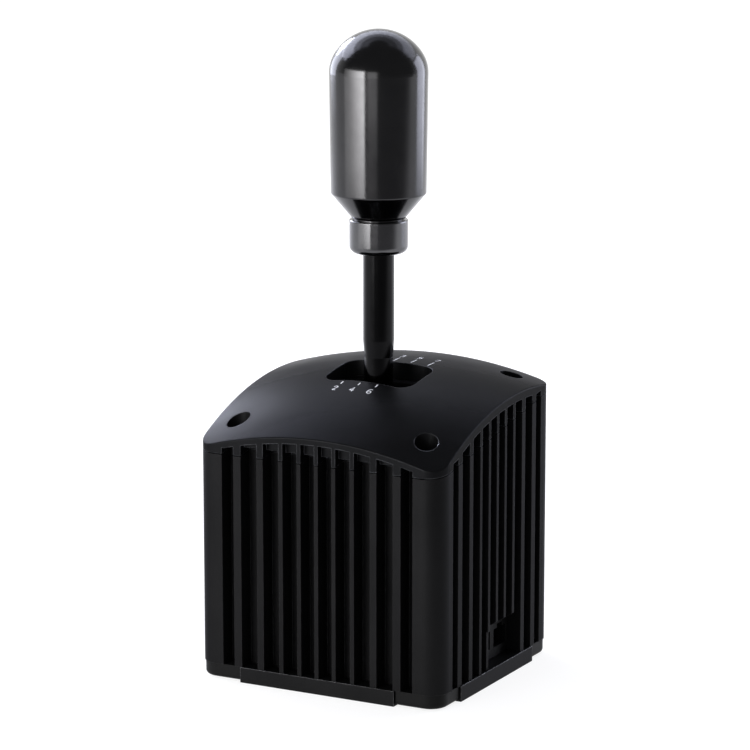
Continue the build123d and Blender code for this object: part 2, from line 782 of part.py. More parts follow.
# Lever block, axle, washers and set screws
lever_block = block(span(block_width), span(block_length), (-block_below, block_above))
lever_block -= crosswise * rod(axle_radius + fit_clearance, -block_width, block_width)
lever_block -= rod(shaft_neck_radius + fit_clearance, shaft_seat_above_pivot, block_above + overrun)
lever_block -= rod(pin_shank_radius + fit_clearance, -block_below - overrun, -shaft_seat_above_pivot)
set_screw_drops = {
    0: axle_radius,
    (shaft_seat_above_pivot + block_above) / 2: shaft_neck_radius,
    -(shaft_seat_above_pivot + block_below) / 2: pin_shank_radius,
}
set_screws = []
for screw_height, seat in set_screw_drops.items():
    set_screw = Pos(0, 0, screw_height) * lying
    lever_block -= set_screw * rod(set_screw_radius + fit_clearance, -block_length, 0)
    pin = rod(set_screw_radius, -block_length / 2, -seat - fit_clearance)
    pin -= prism(RegularPolygon(set_screw_radius * socket_key_share, 6), -block_length,
                 -block_length / 2 + set_screw_radius)
    set_screws.append(pivot * set_screw * pin)
parts["lever_block"] = pivot * lever_block
parts["block_set_screws"] = set_screws

shift_axle = rod(axle_radius, side_play - frame_width / 2, frame_width / 2 - side_play)
parts["shift_axle"] = pivot * crosswise * shift_axle
washer = rod(axle_radius + washer_width, block_width / 2 + side_play, frame_inner_width / 2 - side_play)
washer -= rod(axle_radius + fit_clearance, 0, frame_width)
parts["friction_washers"] = [pivot * Rot(0, side * quarter_turn, 0) * washer for side in sides]

gate_pin = rod(pin_shank_radius, -shaft_seat_above_pivot - pin_shank_length, -shaft_seat_above_pivot)
gate_pin += rod(pin_radius, -pin_tip_below_pivot, -shaft_seat_above_pivot)
parts["gate_pin"] = pivot * gate_pin
parts["pin_magnet"] = pivot * rod(pin_radius, -pin_tip_below_pivot - pin_magnet_length, -pin_tip_below_pivot)

# Lever shaft
shaft_bottom = pivot_height + shaft_seat_above_pivot
shaft_top = knob_bottom + shaft_into_knob
shaft_taper_top = neck_top + neck_taper
lever_shaft = turned([(0, shaft_bottom), (shaft_neck_radius, shaft_bottom), (shaft_neck_radius, neck_top),
                      (shaft_radius, shaft_taper_top), (shaft_radius, shaft_top), (0, shaft_top)])
parts["lever_shaft"] = Pos(0, lever_offset) * lever_shaft


# Knob and collar
def make_knob():
    dome_bottom = knob_top - knob_dome_height
    bore = shaft_radius + fit_clearance
    shoulder = knob_dome_height * knob_shoulder_share
    inset = knob_radius - shoulder
    rise = knob_dome_height - shoulder
    crown = (inset**2 + knob_dome_height**2 - shoulder**2) / (2 * rise)
    meeting = degrees(atan2(dome_bottom - knob_top + crown, inset))
    dome = CenterArc((inset, dome_bottom), shoulder, 0, meeting)
    dome += CenterArc((0, knob_top - crown), crown, meeting, quarter_turn - meeting)
    rest = Polyline((0, knob_top), (0, shaft_top), (bore, shaft_top), (bore, knob_bottom - groove_height),
                    (groove_radius, knob_bottom - groove_height), (groove_radius, knob_bottom),
                    (knob_neck_radius, knob_bottom), (knob_low_radius, knob_cylinder_bottom),
                    (knob_radius, dome_bottom))
    knob = revolve(Plane.XZ * make_face(dome + rest), Axis.Z)
    rims = knob.edges().filter_by(GeomType.CIRCLE)
    low_rim = min(rims, key=lambda rim: abs(rim.center().Z - knob_cylinder_bottom))
    return fillet(low_rim, knob_edge_round)


parts["knob"] = Pos(0, lever_offset) * make_knob()

collar_top = knob_bottom - groove_height
collar = rod(collar_radius, collar_bottom, collar_top)
collar = fillet(collar.edges().sort_by(Axis.Z)[0], collar_round)
collar = fillet(collar.edges().sort_by(Axis.Z)[-1], collar_top_round)
collar -= rod(shaft_radius + fit_clearance, 0, 2 * tall)
parts["knob_collar"] = Pos(0, lever_offset) * collar

# Files
os.makedirs("parts", exist_ok=True)
for name, shape in parts.items():
    solids = shape if isinstance(shape, list) else [shape]
    loose = [s for group in solids for s in group.solids()]
    export_step(loose[0] if len(loose) == 1 else Compound(children=loose), f"parts/{name}.step")
print(len(parts), "parts written")
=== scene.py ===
"""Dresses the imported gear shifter: materials, printed marks, camera and lights."""
import json
import math

import bmesh
import bpy
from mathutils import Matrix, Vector


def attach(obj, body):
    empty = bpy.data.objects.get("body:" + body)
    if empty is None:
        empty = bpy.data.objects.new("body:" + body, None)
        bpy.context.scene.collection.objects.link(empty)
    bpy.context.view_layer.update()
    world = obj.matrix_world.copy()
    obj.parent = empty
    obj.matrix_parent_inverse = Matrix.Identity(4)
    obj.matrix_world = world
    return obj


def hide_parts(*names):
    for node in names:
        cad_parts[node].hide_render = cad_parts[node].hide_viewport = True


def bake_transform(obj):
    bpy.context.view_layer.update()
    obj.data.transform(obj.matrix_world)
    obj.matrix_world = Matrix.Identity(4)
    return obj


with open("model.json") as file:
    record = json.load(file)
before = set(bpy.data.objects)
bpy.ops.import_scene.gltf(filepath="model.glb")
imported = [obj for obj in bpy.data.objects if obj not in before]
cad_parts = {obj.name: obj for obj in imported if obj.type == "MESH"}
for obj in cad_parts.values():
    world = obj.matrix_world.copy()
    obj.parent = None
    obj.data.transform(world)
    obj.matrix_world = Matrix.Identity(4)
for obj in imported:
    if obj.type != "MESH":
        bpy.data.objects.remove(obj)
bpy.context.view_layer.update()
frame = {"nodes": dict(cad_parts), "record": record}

MM = 0.001
scene = bpy.context.scene
scene.view_settings.view_transform = "Standard"

# Camera, fitted to the body's edges in the photograph
CAMERA_PLACE = (0.62236, -1.16018, 0.39222)
CAMERA_AZIMUTH = math.radians(28.2303)
CAMERA_ELEVATION = math.radians(11.9357)
CAMERA_FOCAL_PIXELS = 3530.15
CAMERA_CLIP = 0.02
FRAME_PIXELS = 750.0
SENSOR = 36.0


def direction(azimuth, elevation):
    """The unit vector from the object towards that azimuth and elevation, azimuth 0 being the front."""
    across = math.cos(elevation)
    return Vector((math.sin(azimuth) * across, -math.cos(azimuth) * across, math.sin(elevation)))


def look_along(holder, back):
    """Turns a camera or lamp so that its back points that way."""
    holder.rotation_mode = "QUATERNION"
    holder.rotation_quaternion = (-back).to_track_quat("-Z", "Y")


camera_data = bpy.data.cameras.new("camera")
camera_data.sensor_width = SENSOR
camera_data.lens = CAMERA_FOCAL_PIXELS / FRAME_PIXELS * SENSOR
camera_data.clip_start = CAMERA_CLIP
camera = bpy.data.objects.new("camera", camera_data)
camera.location = CAMERA_PLACE
look_along(camera, direction(CAMERA_AZIMUTH, CAMERA_ELEVATION))
scene.collection.objects.link(camera)
scene.camera = camera


# The mix node has several sockets of one name, so its colours go by their numbers
MIX_FIRST_COLOUR = 6
MIX_SECOND_COLOUR = 7
MIX_COLOUR_RESULT = 2


class Nodes:
    """Adds nodes to one material or world, and links what it is given."""

    def __init__(self, owner):
        owner.use_nodes = True
        self.tree = owner.node_tree
        self.tree.nodes.clear()

    def put(self, socket, value):
        """Links the value where it is a socket, and otherwise sets it."""
        if isinstance(value, bpy.types.NodeSocket):
            self.tree.links.new(value, socket)
        elif socket.type == "RGBA":
            socket.default_value = (*value, 1.0)
        else:
            socket.default_value = value

    def add(self, kind, inputs=None, settings=None):
        """A new node, with its inputs given by name or number."""
        node = self.tree.nodes.new(kind)
        for key, value in (settings or {}).items():
            setattr(node, key, value)
        for key, value in (inputs or {}).items():
            self.put(node.inputs[key], value)
        return node

    def math(self, operation, first, second):
        """One calculation with two numbers."""
        return self.add("ShaderNodeMath", {0: first, 1: second}, {"operation": operation}).outputs[0]

    def dot(self, first, second):
        """How far two directions agree, or how far a place reaches along a direction."""
        node = self.add("ShaderNodeVectorMath", {0: first, 1: second}, {"operation": "DOT_PRODUCT"})
        return node.outputs["Value"]

    def noise(self, place, scale, detail, roughness):
        """A cloudy pattern."""
        inputs = {"Vector": place, "Scale": scale, "Detail": detail, "Roughness": roughness}
        return self.add("ShaderNodeTexNoise", inputs).outputs[0]

    def cells(self, place, scale, distance="EUCLIDEAN"):
        """The distance to the nearest of scattered points."""
        node = self.add("ShaderNodeTexVoronoi", {"Vector": place, "Scale": scale}, {"distance": distance})
        return node.outputs["Distance"]

    def ramp(self, value, low, high, to_low=0.0, to_high=1.0, smooth=False):
        """Runs from to_low to to_high while the value runs from low to high."""
        inputs = {"Value": value, "From Min": low, "From Max": high, "To Min": to_low, "To Max": to_high}
        kind = "SMOOTHSTEP" if smooth else "LINEAR"
        return self.add("ShaderNodeMapRange", inputs, {"interpolation_type": kind}).outputs[0]

    def mix(self, share, first, second):
        """The first colour where the share is 0 and the second where it is 1."""
        inputs = {"Factor": share, MIX_FIRST_COLOUR: first, MIX_SECOND_COLOUR: second}
        return self.add("ShaderNodeMix", inputs, {"data_type": "RGBA"}).outputs[MIX_COLOUR_RESULT]

    def place(self, stretch=(1.0, 1.0, 1.0)):
        """The place on the object, in metres, with each axis stretched."""
        coordinates = self.add("ShaderNodeTexCoord").outputs["Object"]
        return self.add("ShaderNodeMapping", {"Vector": coordinates, "Scale": stretch}).outputs[0]

    def bump(self, height, strength, distance, below=None):
        """A normal that follows the height, on top of the normal below."""
        inputs = {"Height": height, "Strength": strength, "Distance": distance}
        if below is not None:
            inputs["Normal"] = below
        return self.add("ShaderNodeBump", inputs).outputs["Normal"]

    def seen_rays(self):
        """1 for what the camera, a reflection or a glass sees, 0 for the light that falls on things."""
        light_path = self.add("ShaderNodeLightPath").outputs
        seen = self.math("MAXIMUM", light_path["Is Camera Ray"], light_path["Is Glossy Ray"])
        return self.math("MAXIMUM", seen, light_path["Is Transmission Ray"])

    def finish(self, base, roughness, normal, metallic=0.0, specular=0.5, grazing=None):
        """Ends a material: grazing is the tint of its shine at a low angle."""
        inputs = {"Base Color": base, "Roughness": roughness, "Normal": normal, "Metallic": metallic,
                  "Specular IOR Level": specular}
        if grazing:
            inputs["Specular Tint"] = grazing
        shader = self.add("ShaderNodeBsdfPrincipled", inputs)
        self.add("ShaderNodeOutputMaterial", {"Surface": shader.outputs[0]})


# The edge mask runs between these cosines of the angle by which a rounded normal turns away
EDGE_BEGINS = 0.995
EDGE_IS_FULL = 0.80
BEVEL_SAMPLES = 6
# How far a coat shines as metal does, whose shine at a low angle takes a tint
COAT_METALLIC = 0.6
# The second, finer layer of a grain against the first
FINER_GRAIN = 2.3
FINER_PITS = 1.7
FINER_DEPTH = 0.5
# How much smoother a worn edge is
WORN_POLISH = 0.1
# A board's tracks repeat at twice this share of the pattern's cells
TRACK_STEP = 0.12
TRACK_GREEN = (0.014, 0.12, 0.05)
BOARD_GREEN = (0.008, 0.075, 0.03)
BARE_GREEN = (0.006, 0.05, 0.022)
INK_WHITE = (0.78, 0.79, 0.8)
INK_DULL = (0.62, 0.63, 0.65)
INK_HOLE = (0.2, 0.2, 0.21)


def new_material(name):
    """A material of that name, and the helper that fills it."""
    material = bpy.data.materials.new(name)
    return material, Nodes(material)


def shade_of(colour, factor, lift=0.0):
    """The colour made paler or darker, never brighter than white."""
    return [min(1.0, channel * factor + lift) for channel in colour]


def edges_of(nodes, width, strength):
    """A rounded normal, and a mask that is high near the edges, where that normal turns away."""
    bevel = nodes.add("ShaderNodeBevel", {"Radius": width}, {"samples": BEVEL_SAMPLES})
    rounded = bevel.outputs[0]
    true_normal = nodes.add("ShaderNodeNewGeometry").outputs["Normal"]
    return rounded, nodes.ramp(nodes.dot(rounded, true_normal), EDGE_BEGINS, EDGE_IS_FULL, to_high=strength)


def coat(name, colour, rough, grain, grain_depth, specular, grazing, edge, edge_width, pale):
    """A fine-textured dark finish on metal: grain, uneven sheen, and paler edges that are partly rubbed paint
    and partly a painted highlight.
    """
    material, nodes = new_material(name)
    place = nodes.place()
    fine = nodes.noise(place, scale=grain, detail=2.0, roughness=0.6)
    finer = nodes.noise(place, scale=grain * FINER_GRAIN, detail=1.0, roughness=0.5)
    broad = nodes.noise(place, scale=38.0, detail=4.0, roughness=0.6)
    patches = nodes.noise(place, scale=240.0, detail=3.0, roughness=0.7)
    rounded, edge_mask = edges_of(nodes, edge_width, edge)
    rubbed_with_painted_highlight = nodes.math("MULTIPLY", edge_mask, nodes.ramp(patches, low=0.3, high=0.6))
    mottle = nodes.ramp(broad, low=0.35, high=0.7)
    specks = nodes.ramp(finer, low=0.4, high=0.72, to_high=0.5)
    shade = nodes.mix(mottle, shade_of(colour, factor=0.86), shade_of(colour, factor=1.12))
    shade = nodes.mix(specks, shade, shade_of(colour, factor=1.5))
    # Paler edges: partly rubbed paint, partly a painted highlight standing in for light caught by the edges
    shade = nodes.mix(rubbed_with_painted_highlight, shade, shade_of(colour, factor=pale, lift=0.01))
    uneven = nodes.ramp(broad, low=0.3, high=0.75, to_low=rough - 0.05, to_high=rough + 0.06)
    uneven = nodes.math("SUBTRACT", uneven, nodes.math("MULTIPLY", rubbed_with_painted_highlight, WORN_POLISH))
    normal = nodes.bump(fine, strength=0.55, distance=grain_depth, below=rounded)
    normal = nodes.bump(finer, strength=0.3, distance=grain_depth * FINER_DEPTH, below=normal)
    nodes.finish(shade, uneven, normal, metallic=COAT_METALLIC, specular=specular, grazing=grazing)
    return material


def turned(name, colour, rough, ring_scale, ring_depth):
    """Turned metal under a dark finish: fine rings round the axis, faint rub marks and polished edges."""
    material, nodes = new_material(name)
    place = nodes.place()
    round_axis = nodes.place(stretch=(0.02, 0.02, 1.0))
    along_axis = nodes.place(stretch=(1.0, 1.0, 0.12))
    rings = nodes.noise(round_axis, scale=ring_scale, detail=2.0, roughness=0.7)
    rubs = nodes.noise(along_axis, scale=900.0, detail=3.0, roughness=0.8)
    broad = nodes.noise(place, scale=55.0, detail=4.0, roughness=0.6)
    prints = nodes.noise(place, scale=160.0, detail=5.0, roughness=0.75)
    rounded, edge_mask = edges_of(nodes, width=0.2 * MM, strength=0.3)
    mottle = nodes.ramp(broad, low=0.3, high=0.75)
    streaks = nodes.ramp(rubs, low=0.62, high=0.8, to_high=0.25)
    shade = nodes.mix(mottle, shade_of(colour, factor=0.9), shade_of(colour, factor=1.1))
    shade = nodes.mix(streaks, shade, shade_of(colour, factor=1.6))
    shade = nodes.mix(edge_mask, shade, shade_of(colour, factor=1.9, lift=0.01))
    uneven = nodes.ramp(prints, low=0.35, high=0.75, to_low=rough * 0.85, to_high=rough * 1.25)
    uneven = nodes.math("ADD", uneven, nodes.ramp(rubs, low=0.6, high=0.8, to_high=0.03))
    normal = nodes.bump(rings, strength=0.35, distance=ring_depth, below=rounded)
    nodes.finish(shade, uneven, normal, metallic=1.0)
    return material


def ground(name, colour, rough, stretch, scale, depth=0.002 * MM, spots=0.0):
    """Bare or plated metal with cutter marks along one way and a slightly blotchy sheen."""
    material, nodes = new_material(name)
    place = nodes.place()
    marks = nodes.noise(nodes.place(stretch), scale=scale, detail=4.0, roughness=0.7)
    broad = nodes.noise(place, scale=90.0, detail=4.0, roughness=0.65)
    rounded, edge_mask = edges_of(nodes, width=0.15 * MM, strength=0.5)
    mottle = nodes.ramp(broad, low=0.3, high=0.75)
    shade = nodes.mix(mottle, shade_of(colour, factor=0.85), shade_of(colour, factor=1.1))
    if spots:
        stains = nodes.noise(place, scale=420.0, detail=5.0, roughness=0.8)
        stained = nodes.ramp(stains, low=0.6, high=0.72, to_high=spots)
        shade = nodes.mix(stained, shade, shade_of(colour, factor=0.45))
    shade = nodes.mix(edge_mask, shade, shade_of(colour, factor=1.25, lift=0.02))
    uneven = nodes.ramp(broad, low=0.3, high=0.75, to_low=rough * 0.8, to_high=rough * 1.25)
    normal = nodes.bump(marks, strength=0.5, distance=depth, below=rounded)
    nodes.finish(shade, uneven, normal, metallic=1.0)
    return material


def moulded(name, colour, rough, grain, depth, specular):
    """Moulded plastic or rubber: fine spark texture, soft mottling, paler scuffed edges."""
    material, nodes = new_material(name)
    place = nodes.place()
    pits = nodes.cells(place, scale=grain)
    fine = nodes.noise(place, scale=grain * FINER_PITS, detail=2.0, roughness=0.6)
    broad = nodes.noise(place, scale=60.0, detail=4.0, roughness=0.6)
    rounded, edge_mask = edges_of(nodes, width=0.2 * MM, strength=0.35)
    mottle = nodes.ramp(broad, low=0.3, high=0.75)
    shade = nodes.mix(mottle, shade_of(colour, factor=0.85), shade_of(colour, factor=1.15))
    shade = nodes.mix(edge_mask, shade, shade_of(colour, factor=1.7, lift=0.006))
    uneven = nodes.ramp(broad, low=0.3, high=0.75, to_low=rough - 0.06, to_high=rough + 0.07)
    normal = nodes.bump(pits, strength=0.4, distance=depth, below=rounded)
    normal = nodes.bump(fine, strength=0.3, distance=depth * FINER_DEPTH, below=normal)
    nodes.finish(shade, uneven, normal, specular=specular)
    return material


def board_mask(name):
    """Green solder mask: a glossy film with faint tracks and darker bare patches."""
    material, nodes = new_material(name)
    place = nodes.place()
    tracks = nodes.cells(place, scale=420.0, distance="CHEBYCHEV")
    line = nodes.ramp(nodes.math("PINGPONG", tracks, TRACK_STEP), low=0.045, high=0.055)
    broad = nodes.noise(place, scale=150.0, detail=3.0, roughness=0.6)
    bare = nodes.ramp(broad, low=0.4, high=0.7, to_high=0.4)
    shade = nodes.mix(line, BOARD_GREEN, TRACK_GREEN)
    shade = nodes.mix(bare, shade, BARE_GREEN)
    uneven = nodes.ramp(broad, low=0.3, high=0.7, to_low=0.25, to_high=0.38)
    nodes.finish(shade, uneven, nodes.bump(line, strength=0.4, distance=0.03 * MM))
    return material


def drawn_wire(name, colour, rough):
    """Drawn wire: fine lines along it and a faint oily stain."""
    material, nodes = new_material(name)
    drawn = nodes.noise(nodes.place(stretch=(1.0, 1.0, 4.0)), scale=1400.0, detail=3.0, roughness=0.7)
    stain = nodes.noise(nodes.place(), scale=180.0, detail=4.0, roughness=0.7)
    shade = nodes.mix(nodes.ramp(stain, low=0.35, high=0.7), shade_of(colour, factor=0.7), colour)
    uneven = nodes.ramp(drawn, low=0.3, high=0.7, to_low=rough * 0.8, to_high=rough * 1.3)
    nodes.finish(shade, uneven, nodes.bump(drawn, strength=0.4, distance=0.002 * MM), metallic=1.0)
    return material


def printing_ink(name):
    """The white printing ink: slightly raised, softly uneven, with pinholes."""
    material, nodes = new_material(name)
    place = nodes.place()
    grain = nodes.noise(place, scale=3200.0, detail=3.0, roughness=0.7)
    broad = nodes.noise(place, scale=500.0, detail=3.0, roughness=0.6)
    pinholes = nodes.ramp(grain, low=0.68, high=0.76, to_high=0.55)
    shade = nodes.mix(nodes.ramp(broad, low=0.3, high=0.7), INK_DULL, INK_WHITE)
    shade = nodes.mix(pinholes, shade, INK_HOLE)
    uneven = nodes.ramp(grain, low=0.3, high=0.7, to_low=0.42, to_high=0.6)
    nodes.finish(shade, uneven, nodes.bump(grain, strength=0.4, distance=0.004 * MM), specular=0.35)
    return material


# The coats' pale edge factors give paler edges that are partly rubbed paint and partly a painted highlight
finishes = {
    "housing_black": coat("housing_coat", (0.0085, 0.0085, 0.0088), rough=0.42, grain=2400.0,
                          grain_depth=0.02 * MM, specular=0.13, grazing=(0.42, 0.42, 0.44), edge=0.5,
                          edge_width=0.25 * MM, pale=9.0),
    "cover_grey": coat("cover_coat", (0.0076, 0.0078, 0.0083), rough=0.34, grain=3000.0,
                       grain_depth=0.009 * MM, specular=0.09, grazing=(0.33, 0.33, 0.36), edge=0.7,
                       edge_width=0.45 * MM, pale=22.0),
    "base_black": coat("base_coat", (0.0085, 0.0085, 0.0088), rough=0.44, grain=2000.0,
                       grain_depth=0.02 * MM, specular=0.15, grazing=(0.5, 0.5, 0.52), edge=0.8,
                       edge_width=0.4 * MM, pale=22.0),
    # The liner and socket plastics are near-black, made darker still as painted shade so the recessed socket
    # window reads black
    "liner_black": moulded("liner_plastic_painted_shade", (0.0024, 0.0024, 0.0026), rough=0.55, grain=1500.0,
                           depth=0.01 * MM, specular=0.09),
    "foot_black": moulded("foot_moulding", (0.003, 0.003, 0.0031), rough=0.5, grain=1300.0,
                          depth=0.014 * MM, specular=0.1),
    "socket_black": moulded("socket_plastic_painted_shade", (0.0022, 0.0022, 0.0023), rough=0.5, grain=2200.0,
                            depth=0.006 * MM, specular=0.08),
    "chip_black": moulded("chip_resin", (0.014, 0.014, 0.015), rough=0.45, grain=2600.0,
                          depth=0.006 * MM, specular=0.4),
    "screw_black": ground("screw_oxide", (0.035, 0.035, 0.037), rough=0.38, stretch=(1.0, 1.0, 0.3),
                          scale=900.0),
    "steel_plain": ground("steel", (0.5, 0.5, 0.51), rough=0.3, stretch=(0.15, 1.0, 1.0), scale=800.0,
                          spots=0.3),
    "frame_metal": ground("milled_metal", (0.52, 0.53, 0.54), rough=0.34, stretch=(0.08, 1.0, 1.0),
                          scale=650.0, spots=0.15),
    "bronze": ground("bronze", (0.56, 0.36, 0.17), rough=0.33, stretch=(1.0, 1.0, 0.2), scale=900.0,
                     spots=0.5),
    "magnet_nickel": ground("nickel", (0.62, 0.6, 0.55), rough=0.16, stretch=(1.0, 1.0, 1.0),
                            scale=500.0, depth=0.001 * MM),
    "contact_gold": ground("contact_plating", (0.78, 0.55, 0.2), rough=0.22, stretch=(0.1, 1.0, 1.0),
                           scale=1200.0, depth=0.001 * MM),
    "spring_steel": drawn_wire("spring_wire", (0.4, 0.4, 0.41), rough=0.28),
    "board_green": board_mask("board_mask"),
    "shaft_black": turned("shaft_finish", (0.012, 0.012, 0.0125), rough=0.13, ring_scale=1900.0,
                          ring_depth=0.0006 * MM),
    "knob_metal": turned("knob_finish", (0.052, 0.052, 0.054), rough=0.16, ring_scale=2600.0,
                         ring_depth=0.0008 * MM),
    "collar_metal": turned("collar_finish", (0.1, 0.1, 0.104), rough=0.15, ring_scale=2600.0,
                           ring_depth=0.0008 * MM),
}

slot_of = {subpart["node"]: subpart["material_slot"] for subpart in frame["record"]["subparts"]}
for node, solid in frame["nodes"].items():
    for slot in solid.material_slots:
        slot.material = finishes[slot_of[node]]

# Each centring spring, between the housing and the tilting frame, is copied into a loose coil with its
# placement baked in, and the imported part is hidden
for side in ("left", "right"):
    node = side + "_centring_spring"
    coil = bpy.data.objects.new(side + "_spring_coil", frame["nodes"][node].data.copy())
    scene.collection.objects.link(coil)
    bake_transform(coil)
    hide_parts(node)


# Printed gate marks, laid on the cover's own surface: y runs from the front to the back
INK_LIFT = 0.03 * MM
COLUMN = 7.4 * MM
NEAR_TICK = (-10.3 * MM, -12.4 * MM)
FAR_TICK = (16.6 * MM, 21.8 * MM)
NEAR_FIGURE = -16.0 * MM
FAR_FIGURE = 25.4 * MM
TICK_SHIFT = -1.2 * MM
FIGURE_SHIFT = -1.7 * MM
TICK_WIDTH = 0.4 * MM
STROKE = 0.34 * MM
FIGURE_HEIGHT = 3.0 * MM
FIGURE_SHARE = 0.85
# The column of each figure, counted from the middle one
NEAR_COLUMNS = {"2": -1, "4": 0, "6": 1}
FAR_COLUMNS = {"1": -1, "3": 0, "5": 1, "7": 2}

# Figures as strokes in a box one high, across and up: each stroke is a run of points
HALF = 0.34
MIDDLE = 0.5
FIGURES = {
    "1": [[(-0.16, 0.78), (0.1, 1.0), (0.1, 0.0)]],
    "2": [[(-HALF, 0.8), (-0.22, 0.95), (0.0, 1.0), (0.22, 0.95), (0.32, 0.78), (0.26, 0.58), (-HALF, 0.0),
           (HALF, 0.0)]],
    "3": [[(-HALF, 0.95), (0.0, 1.0), (0.26, 0.92), (0.3, 0.74), (0.2, 0.57), (-0.06, 0.53), (0.22, 0.48),
           (HALF, 0.28), (0.26, 0.07), (0.0, 0.0), (-HALF, 0.06)]],
    "4": [[(0.14, 0.0), (0.14, 1.0), (-HALF, 0.3)], [(-HALF, 0.3), (HALF, 0.3)]],
    "5": [[(0.3, 1.0), (-0.26, 1.0), (-0.3, 0.57), (0.04, 0.62), (0.28, 0.5), (HALF, 0.3), (0.24, 0.07),
           (0.0, 0.0), (-HALF, 0.05)]],
    "6": [[(0.28, 0.95), (0.02, 1.0), (-0.22, 0.86), (-HALF, 0.5), (-0.3, 0.16), (-0.08, 0.0), (0.18, 0.02),
           (HALF, 0.2), (0.3, 0.46), (0.06, 0.57), (-0.2, 0.5), (-0.31, 0.36)]],
    "7": [[(-HALF, 1.0), (HALF, 1.0), (-0.1, 0.0)]],
}
ROUND_FIGURES = "2356"
CORNER_ROUNDS = 2
CORNER_SHARE = 0.25
# A mitred corner widens a stroke to twice its width at most
SHORTEST_MITRE = 0.5
# Rays towards the cover start at this height, above all of it
DROP_HEIGHT = 0.2

cover = frame["nodes"]["top_cover"]
ink = printing_ink("printing_ink")
bpy.context.view_layer.update()


def on_cover(x, y):
    """The point of the cover's outer surface over that place of the footprint, lifted by the ink's height."""
    to_local = cover.matrix_world.inverted()
    start = to_local @ Vector((x, y, DROP_HEIGHT))
    down = (to_local.to_3x3() @ Vector((0.0, 0.0, -1.0))).normalized()
    _, point, normal, _ = cover.ray_cast(start, down)
    return cover.matrix_world @ (point + normal.normalized() * INK_LIFT / cover.matrix_world.median_scale)


def left_of(heading):
    """The direction a quarter turn to the left."""
    return Vector((-heading.y, heading.x))


def stroke_outline(points, width):
    """The left and right edges of a line of that width with mitred corners."""
    left = []
    right = []
    for index, point in enumerate(points):
        is_first = index == 0
        is_last = index == len(points) - 1
        before = (points[1] - point if is_first else point - points[index - 1]).normalized()
        after = before if is_last else (points[index + 1] - point).normalized()
        across = (left_of(before) + left_of(after)).normalized()
        spread = width / 2 / max(SHORTEST_MITRE, across.dot(left_of(before)))
        left.append(point + across * spread)
        right.append(point - across * spread)
    return left, right


def rounded_run(points):
    """The same run with its corners softened by cutting them."""
    for _ in range(CORNER_ROUNDS):
        cut = [points[0]]
        for start, end in zip(points, points[1:]):
            cut += [start.lerp(end, CORNER_SHARE), start.lerp(end, 1 - CORNER_SHARE)]
        points = cut + [points[-1]]
    return points


def ink_stroke(mesh, points, width):
    """Adds one stroke to the mesh as a strip that follows the cover."""
    left, right = ([mesh.verts.new(on_cover(edge.x, edge.y)) for edge in side]
                   for side in stroke_outline(points, width))
    for index in range(len(points) - 1):
        mesh.faces.new((left[index], right[index], right[index + 1], left[index + 1]))


def ink_piece(name, runs, width):
    """One printed piece that rides on the housing, made of strokes."""
    mesh = bmesh.new()
    for run in runs:
        ink_stroke(mesh, run, width)
    for face in mesh.faces:
        face.normal_update()
        if face.normal.z < 0:
            face.normal_flip()
    data = bpy.data.meshes.new(name)
    mesh.to_mesh(data)
    mesh.free()
    data.materials.append(ink)
    piece = bpy.data.objects.new(name, data)
    scene.collection.objects.link(piece)
    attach(piece, "housing")


def figure_runs(sign, x, y):
    """The strokes of a figure centred on that place, upright as seen from the front."""
    runs = []
    for stroke in FIGURES[sign]:
        run = [Vector((x + across * FIGURE_SHARE * FIGURE_HEIGHT, y + (up - MIDDLE) * FIGURE_HEIGHT))
               for across, up in stroke]
        runs.append(rounded_run(run) if sign in ROUND_FIGURES else run)
    return runs


ticks = []
for columns, span, figure_y in ((NEAR_COLUMNS, NEAR_TICK, NEAR_FIGURE), (FAR_COLUMNS, FAR_TICK, FAR_FIGURE)):
    for sign, column in columns.items():
        x = column * COLUMN
        ticks.append([Vector((x + TICK_SHIFT, y)) for y in span])
        ink_piece("figure_" + sign, figure_runs(sign, x + FIGURE_SHIFT, figure_y), STROKE)
ink_piece("gate_ticks", ticks, TICK_WIDTH)


# Studio: a pale sweep that is white behind the object and greyer on the camera's side
WHITE = (1.0, 1.0, 1.0)
BEHIND = -direction(CAMERA_AZIMUTH, 0.0)


def white_share(nodes, vector, low, high):
    """How far the white of the sweep reaches in that direction or at that place."""
    return nodes.ramp(nodes.dot(vector, BEHIND), low, high, smooth=True)


# The world is seen as a backdrop, and lights things with an even grey
BACKDROP_GREY = (0.15, 0.15, 0.1545)
ROOM_LIGHT = (0.42, 0.42, 0.44)
world = bpy.data.worlds.new("studio")
scene.world = world
nodes = Nodes(world)
sky = nodes.add("ShaderNodeTexCoord").outputs["Generated"]
sky_height = nodes.add("ShaderNodeSeparateXYZ", {0: sky}).outputs["Z"]
low_band = nodes.ramp(sky_height, low=0.3, high=0.7, to_low=1.0, to_high=0.0, smooth=True)
share = nodes.math("MULTIPLY", white_share(nodes, sky, low=-0.15, high=0.45), low_band)
backdrop = nodes.mix(share, BACKDROP_GREY, WHITE)
background = nodes.add("ShaderNodeBackground", {"Color": nodes.mix(nodes.seen_rays(), ROOM_LIGHT, backdrop)})
nodes.add("ShaderNodeOutputWorld", {"Surface": background.outputs[0]})

